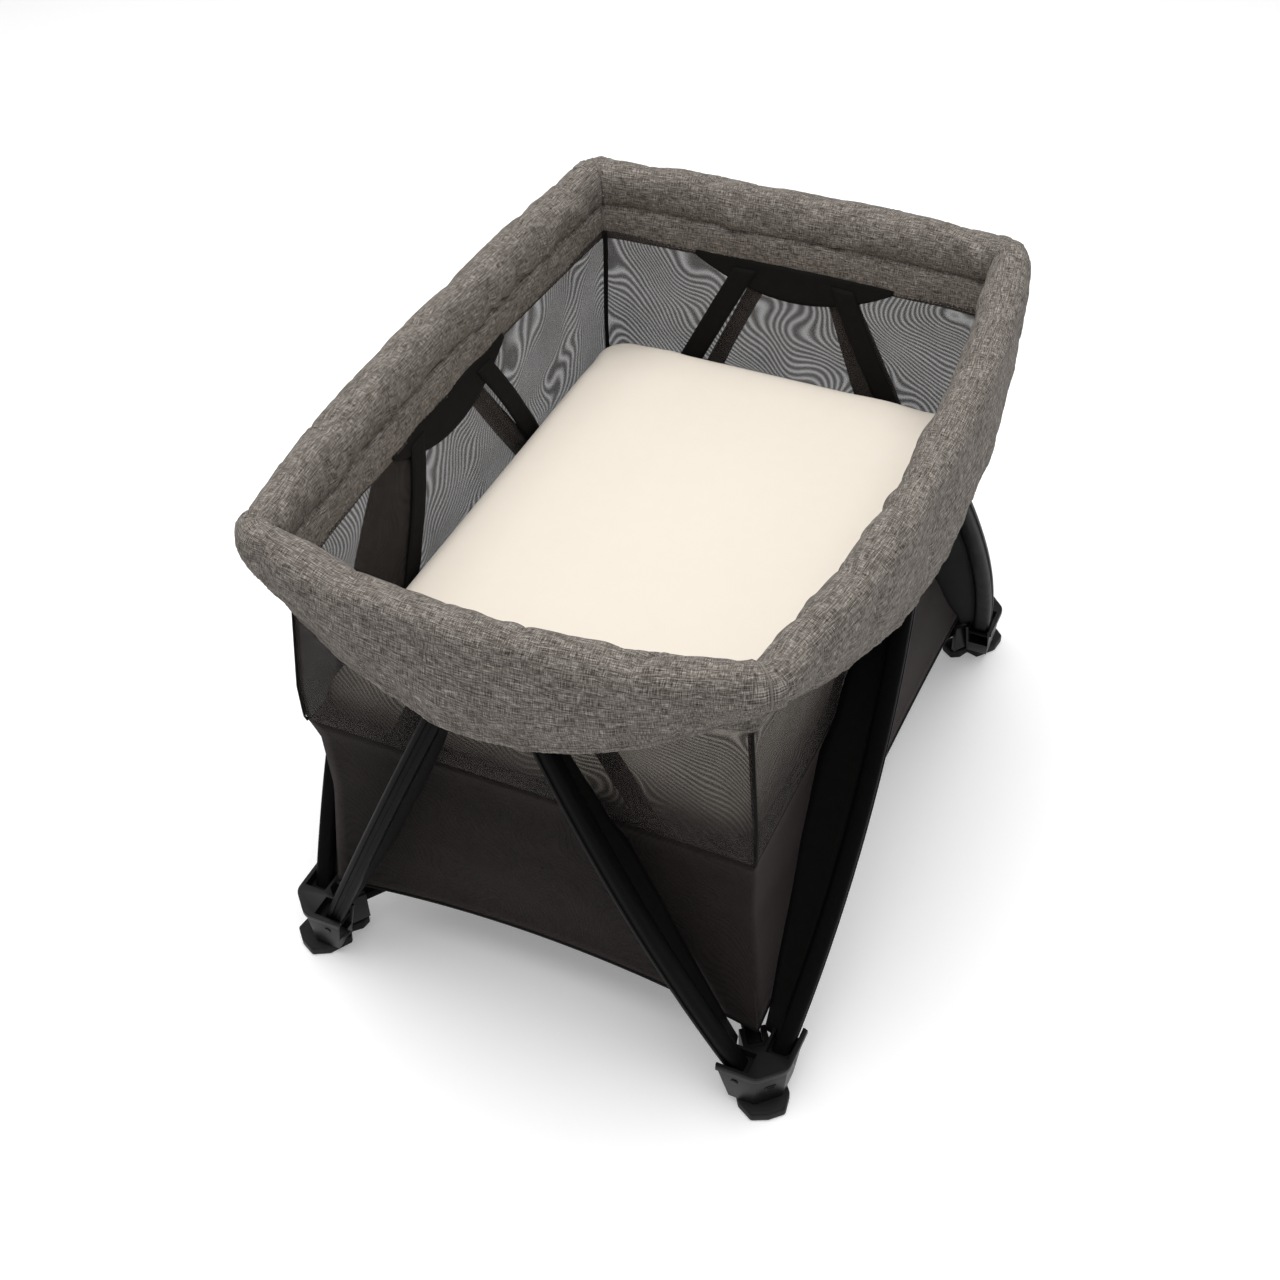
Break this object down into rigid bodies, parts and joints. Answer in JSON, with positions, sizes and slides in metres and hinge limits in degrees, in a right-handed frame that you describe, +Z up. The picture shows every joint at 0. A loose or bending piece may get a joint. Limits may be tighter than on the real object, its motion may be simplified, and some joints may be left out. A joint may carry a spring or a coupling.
{
  "type": "folding playpen",
  "caption": "Folding travel playpen with a zigzag tube frame, padded rim, mesh walls and a raised bassinet mattress.",
  "frame": {"origin": "on the floor under the middle of the open pen", "axes": "+Z up, X along the pen's length, Y across its width; the long side at -Y is called the front"},
  "size_m": [1.082, 0.808, 0.78],
  "materials": {
    "leg_tube": "satin black anodised tube with a rolled groove",
    "black_plastic": "fine-textured moulded plastic",
    "rubber": "moulded rubber",
    "melange_fabric": "grey-brown melange linen weave, padded",
    "mesh_fabric": "dark plum-brown see-through mesh",
    "webbing": "black webbing and lining cloth",
    "sheet_fabric": "cream jersey fitted sheet"
  },
  "bodies": {
    "foot_front_left": {"foot_socket_front_left": "black_plastic", "foot_pad_front_left": "rubber"},
    "foot_front_right": {"foot_socket_front_right": "black_plastic", "foot_pad_front_right": "rubber"},
    "foot_rear_right": {"foot_socket_rear_right": "black_plastic", "foot_pad_rear_right": "rubber"},
    "foot_rear_left": {"foot_socket_rear_left": "black_plastic", "foot_pad_rear_left": "rubber"},
    "arm_front_left": {"floor_arm_front_left": "leg_tube"},
    "arm_front_right": {"floor_arm_front_right": "leg_tube"},
    "arm_rear_right": {"floor_arm_rear_right": "leg_tube"},
    "arm_rear_left": {"floor_arm_rear_left": "leg_tube"},
    "floor_hub": {"floor_hub": "black_plastic", "floor_panel": "webbing"},
    "fold_handle": {"fold_handle": "black_plastic"},
    "bassinet": {"mattress": "sheet_fabric", "bassinet_tray": "mesh_fabric", "bassinet_strap_front": "webbing", "bassinet_strap_rear": "webbing", "bassinet_strap_left_end": "webbing", "bassinet_strap_right_end": "webbing"},
    "front_leg_left": {"front_leg_left": "leg_tube"},
    "front_hub": {"front_hub": "black_plastic", "front_mesh_wall": "mesh_fabric"},
    "front_leg_right": {"front_leg_right": "leg_tube"},
    "rear_leg_left": {"rear_leg_left": "leg_tube"},
    "rear_leg_right": {"rear_leg_right": "leg_tube"},
    "rear_hub": {"rear_hub": "black_plastic", "rear_mesh_wall": "mesh_fabric"},
    "left_end_leg_front": {"left_end_leg_front": "leg_tube"},
    "left_end_leg_rear": {"left_end_leg_rear": "leg_tube"},
    "left_end_hub": {"left_end_hub": "black_plastic", "left_end_mesh_wall": "mesh_fabric"},
    "right_end_leg_front": {"right_end_leg_front": "leg_tube"},
    "right_end_hub": {"right_end_hub": "black_plastic", "right_end_mesh_wall": "mesh_fabric"},
    "right_end_leg_rear": {"right_end_leg_rear": "leg_tube"},
    "front_rail_left": {"front_rail_left": "leg_tube", "front_rim_cover_left": "melange_fabric", "corner_bracket_front_left": "black_plastic"},
    "front_rail_right": {"front_rail_right": "leg_tube", "front_rim_cover_right": "melange_fabric", "corner_bracket_front_right": "black_plastic"},
    "rear_rail_left": {"rear_rail_left": "leg_tube", "rear_rim_cover_left": "melange_fabric", "corner_bracket_rear_left": "black_plastic"},
    "rear_rail_right": {"rear_rail_right": "leg_tube", "rear_rim_cover_right": "melange_fabric", "corner_bracket_rear_right": "black_plastic"},
    "left_end_rail_front": {"left_end_rail_front": "leg_tube", "left_end_rim_cover_front": "melange_fabric"},
    "left_end_rail_rear": {"left_end_rail_rear": "leg_tube", "left_end_rim_cover_rear": "melange_fabric"},
    "right_end_rail_front": {"right_end_rail_front": "leg_tube", "right_end_rim_cover_front": "melange_fabric"},
    "right_end_rail_rear": {"right_end_rail_rear": "leg_tube", "right_end_rim_cover_rear": "melange_fabric"}
  },
  "joints": [
    {"name": "fold", "type": "hinge", "parent": "foot_front_left", "child": "arm_front_left", "pos_m": [-0.44632, -0.31494, 0.056], "axis": [0.5765, -0.8171, 0], "range_deg": [0, 90], "deforming": ["front_rim_cover_left", "front_rim_cover_right", "rear_rim_cover_left", "rear_rim_cover_right", "left_end_rim_cover_front", "left_end_rim_cover_rear", "right_end_rim_cover_front", "right_end_rim_cover_rear", "front_mesh_wall", "rear_mesh_wall", "left_end_mesh_wall", "right_end_mesh_wall", "floor_panel", "mattress", "bassinet_tray", "bassinet_strap_front", "bassinet_strap_rear", "bassinet_strap_left_end", "bassinet_strap_right_end"]},
    {"name": "hub_on_arm_front_left", "type": "hinge", "parent": "arm_front_left", "child": "floor_hub", "pos_m": [-0.03677, -0.02594, 0.056], "axis": [0.5765, -0.8171, 0], "range_deg": [-90, 0]},
    {"name": "arm_front_right_on_hub", "type": "hinge", "parent": "floor_hub", "child": "arm_front_right", "pos_m": [0.03677, -0.02594, 0.056], "axis": [0.5765, 0.8171, 0], "range_deg": [0, 90]},
    {"name": "foot_front_right_on_arm", "type": "hinge", "parent": "arm_front_right", "child": "foot_front_right", "pos_m": [0.44632, -0.31494, 0.056], "axis": [0.5765, 0.8171, 0], "range_deg": [-90, 0]},
    {"name": "arm_rear_right_on_hub", "type": "hinge", "parent": "floor_hub", "child": "arm_rear_right", "pos_m": [0.03677, 0.02594, 0.056], "axis": [-0.5765, 0.8171, 0], "range_deg": [0, 90]},
    {"name": "foot_rear_right_on_arm", "type": "hinge", "parent": "arm_rear_right", "child": "foot_rear_right", "pos_m": [0.44632, 0.31494, 0.056], "axis": [-0.5765, 0.8171, 0], "range_deg": [-90, 0]},
    {"name": "arm_rear_left_on_hub", "type": "hinge", "parent": "floor_hub", "child": "arm_rear_left", "pos_m": [-0.03677, 0.02594, 0.056], "axis": [-0.5765, -0.8171, 0], "range_deg": [0, 90]},
    {"name": "foot_rear_left_on_arm", "type": "hinge", "parent": "arm_rear_left", "child": "foot_rear_left", "pos_m": [-0.44632, 0.31494, 0.056], "axis": [-0.5765, -0.8171, 0], "range_deg": [-90, 0]},
    {"name": "front_leg_left_on_foot", "type": "hinge", "parent": "foot_front_left", "child": "front_leg_left", "pos_m": [-0.459, -0.356, 0.06], "axis": [0, -1, 0], "range_deg": [0, 33.03]},
    {"name": "front_hub_on_leg", "type": "hinge", "parent": "front_leg_left", "child": "front_hub", "pos_m": [-0.04945, -0.36694, 0.69], "axis": [0, -1, 0], "range_deg": [-33.03, 0]},
    {"name": "front_leg_right_on_hub", "type": "hinge", "parent": "front_hub", "child": "front_leg_right", "pos_m": [0.04945, -0.36694, 0.69], "axis": [0, 1, 0], "range_deg": [0, 33.03]},
    {"name": "rear_leg_left_on_hub", "type": "hinge", "parent": "rear_hub", "child": "rear_leg_left", "pos_m": [-0.04945, 0.36694, 0.69], "axis": [0, -1, 0], "range_deg": [0, 33.03]},
    {"name": "rear_leg_right_on_foot", "type": "hinge", "parent": "foot_rear_right", "child": "rear_leg_right", "pos_m": [0.459, 0.356, 0.06], "axis": [0, 1, 0], "range_deg": [0, 33.03]},
    {"name": "rear_hub_on_leg", "type": "hinge", "parent": "rear_leg_right", "child": "rear_hub", "pos_m": [0.04945, 0.36694, 0.69], "axis": [0, 1, 0], "range_deg": [-33.03, 0]},
    {"name": "left_end_leg_front_on_hub", "type": "hinge", "parent": "left_end_hub", "child": "left_end_leg_front", "pos_m": [-0.50393, -0.02901, 0.69], "axis": [1, 0, 0], "range_deg": [0, 24.64]},
    {"name": "left_end_leg_rear_on_foot", "type": "hinge", "parent": "foot_rear_left", "child": "left_end_leg_rear", "pos_m": [-0.497, 0.318, 0.06], "axis": [-1, 0, 0], "range_deg": [0, 24.64]},
    {"name": "left_end_hub_on_leg", "type": "hinge", "parent": "left_end_leg_rear", "child": "left_end_hub", "pos_m": [-0.50393, 0.02901, 0.69], "axis": [-1, 0, 0], "range_deg": [-24.64, 0]},
    {"name": "right_end_leg_front_on_foot", "type": "hinge", "parent": "foot_front_right", "child": "right_end_leg_front", "pos_m": [0.497, -0.318, 0.06], "axis": [1, 0, 0], "range_deg": [0, 24.64]},
    {"name": "right_end_hub_on_leg", "type": "hinge", "parent": "right_end_leg_front", "child": "right_end_hub", "pos_m": [0.50393, -0.02901, 0.69], "axis": [1, 0, 0], "range_deg": [-24.64, 0]},
    {"name": "right_end_leg_rear_on_hub", "type": "hinge", "parent": "right_end_hub", "child": "right_end_leg_rear", "pos_m": [0.50393, 0.02901, 0.69], "axis": [-1, 0, 0], "range_deg": [0, 24.64]},
    {"name": "front_rail_left_on_hub", "type": "hinge", "parent": "front_hub", "child": "front_rail_left", "pos_m": [-0.07995, -0.36694, 0.71857], "axis": [-0.0913, -0.9958, 0], "range_deg": [0, 92.83]},
    {"name": "front_rail_right_on_hub", "type": "hinge", "parent": "front_hub", "child": "front_rail_right", "pos_m": [0.07995, -0.36694, 0.71857], "axis": [-0.0913, 0.9958, 0], "range_deg": [0, 92.83]},
    {"name": "rear_rail_left_on_hub", "type": "hinge", "parent": "rear_hub", "child": "rear_rail_left", "pos_m": [-0.07995, 0.36694, 0.71857], "axis": [0.0913, -0.9958, 0], "range_deg": [0, 92.83]},
    {"name": "rear_rail_right_on_hub", "type": "hinge", "parent": "rear_hub", "child": "rear_rail_right", "pos_m": [0.07995, 0.36694, 0.71857], "axis": [0.0913, 0.9958, 0], "range_deg": [0, 92.83]},
    {"name": "left_end_rail_front_on_hub", "type": "hinge", "parent": "left_end_hub", "child": "left_end_rail_front", "pos_m": [-0.50393, -0.05951, 0.72349], "axis": [0.9932, 0.1168, 0], "range_deg": [0, 93.04]},
    {"name": "left_end_rail_rear_on_hub", "type": "hinge", "parent": "left_end_hub", "child": "left_end_rail_rear", "pos_m": [-0.50393, 0.05951, 0.72349], "axis": [-0.9932, 0.1168, 0], "range_deg": [0, 93.04]},
    {"name": "right_end_rail_front_on_hub", "type": "hinge", "parent": "right_end_hub", "child": "right_end_rail_front", "pos_m": [0.50393, -0.05951, 0.72349], "axis": [0.9932, -0.1168, 0], "range_deg": [0, 93.04]},
    {"name": "right_end_rail_rear_on_hub", "type": "hinge", "parent": "right_end_hub", "child": "right_end_rail_rear", "pos_m": [0.50393, 0.05951, 0.72349], "axis": [-0.9932, -0.1168, 0], "range_deg": [0, 93.04]},
    {"name": "bassinet_lift", "type": "slide", "parent": "floor_hub", "child": "bassinet", "axis": [0, 0, 1], "range_m": [-0.05001, 0]},
    {"name": "handle_pull", "type": "slide", "parent": "floor_hub", "child": "fold_handle", "axis": [0, 0, 1], "range_m": [0, 0.012], "stiffness_N_per_m": 400}
  ],
  "couplings": [
    {"joint": "hub_on_arm_front_left", "follows": "fold", "ratio": -1},
    {"joint": "arm_front_right_on_hub", "follows": "fold", "ratio": 1},
    {"joint": "foot_front_right_on_arm", "follows": "fold", "ratio": -1},
    {"joint": "arm_rear_right_on_hub", "follows": "fold", "ratio": 1},
    {"joint": "foot_rear_right_on_arm", "follows": "fold", "ratio": -1},
    {"joint": "arm_rear_left_on_hub", "follows": "fold", "ratio": 1},
    {"joint": "foot_rear_left_on_arm", "follows": "fold", "ratio": -1},
    {"joint": "front_leg_left_on_foot", "follows": "fold", "ratio": 0.36697},
    {"joint": "front_hub_on_leg", "follows": "fold", "ratio": -0.36697},
    {"joint": "front_leg_right_on_hub", "follows": "fold", "ratio": 0.36697},
    {"joint": "rear_leg_left_on_hub", "follows": "fold", "ratio": 0.36697},
    {"joint": "rear_leg_right_on_foot", "follows": "fold", "ratio": 0.36697},
    {"joint": "rear_hub_on_leg", "follows": "fold", "ratio": -0.36697},
    {"joint": "left_end_leg_front_on_hub", "follows": "fold", "ratio": 0.2738},
    {"joint": "left_end_leg_rear_on_foot", "follows": "fold", "ratio": 0.2738},
    {"joint": "left_end_hub_on_leg", "follows": "fold", "ratio": -0.2738},
    {"joint": "right_end_leg_front_on_foot", "follows": "fold", "ratio": 0.2738},
    {"joint": "right_end_hub_on_leg", "follows": "fold", "ratio": -0.2738},
    {"joint": "right_end_leg_rear_on_hub", "follows": "fold", "ratio": 0.2738},
    {"joint": "front_rail_left_on_hub", "follows": "fold", "ratio": 1.0314},
    {"joint": "front_rail_right_on_hub", "follows": "fold", "ratio": 1.0314},
    {"joint": "rear_rail_left_on_hub", "follows": "fold", "ratio": 1.0314},
    {"joint": "rear_rail_right_on_hub", "follows": "fold", "ratio": 1.0314},
    {"joint": "left_end_rail_front_on_hub", "follows": "fold", "ratio": 1.0338},
    {"joint": "left_end_rail_rear_on_hub", "follows": "fold", "ratio": 1.0338},
    {"joint": "right_end_rail_front_on_hub", "follows": "fold", "ratio": 1.0338},
    {"joint": "right_end_rail_rear_on_hub", "follows": "fold", "ratio": 1.0338},
    {"joint": "bassinet_lift", "follows": "fold", "m_per_rad": -0.031831}
  ]
}
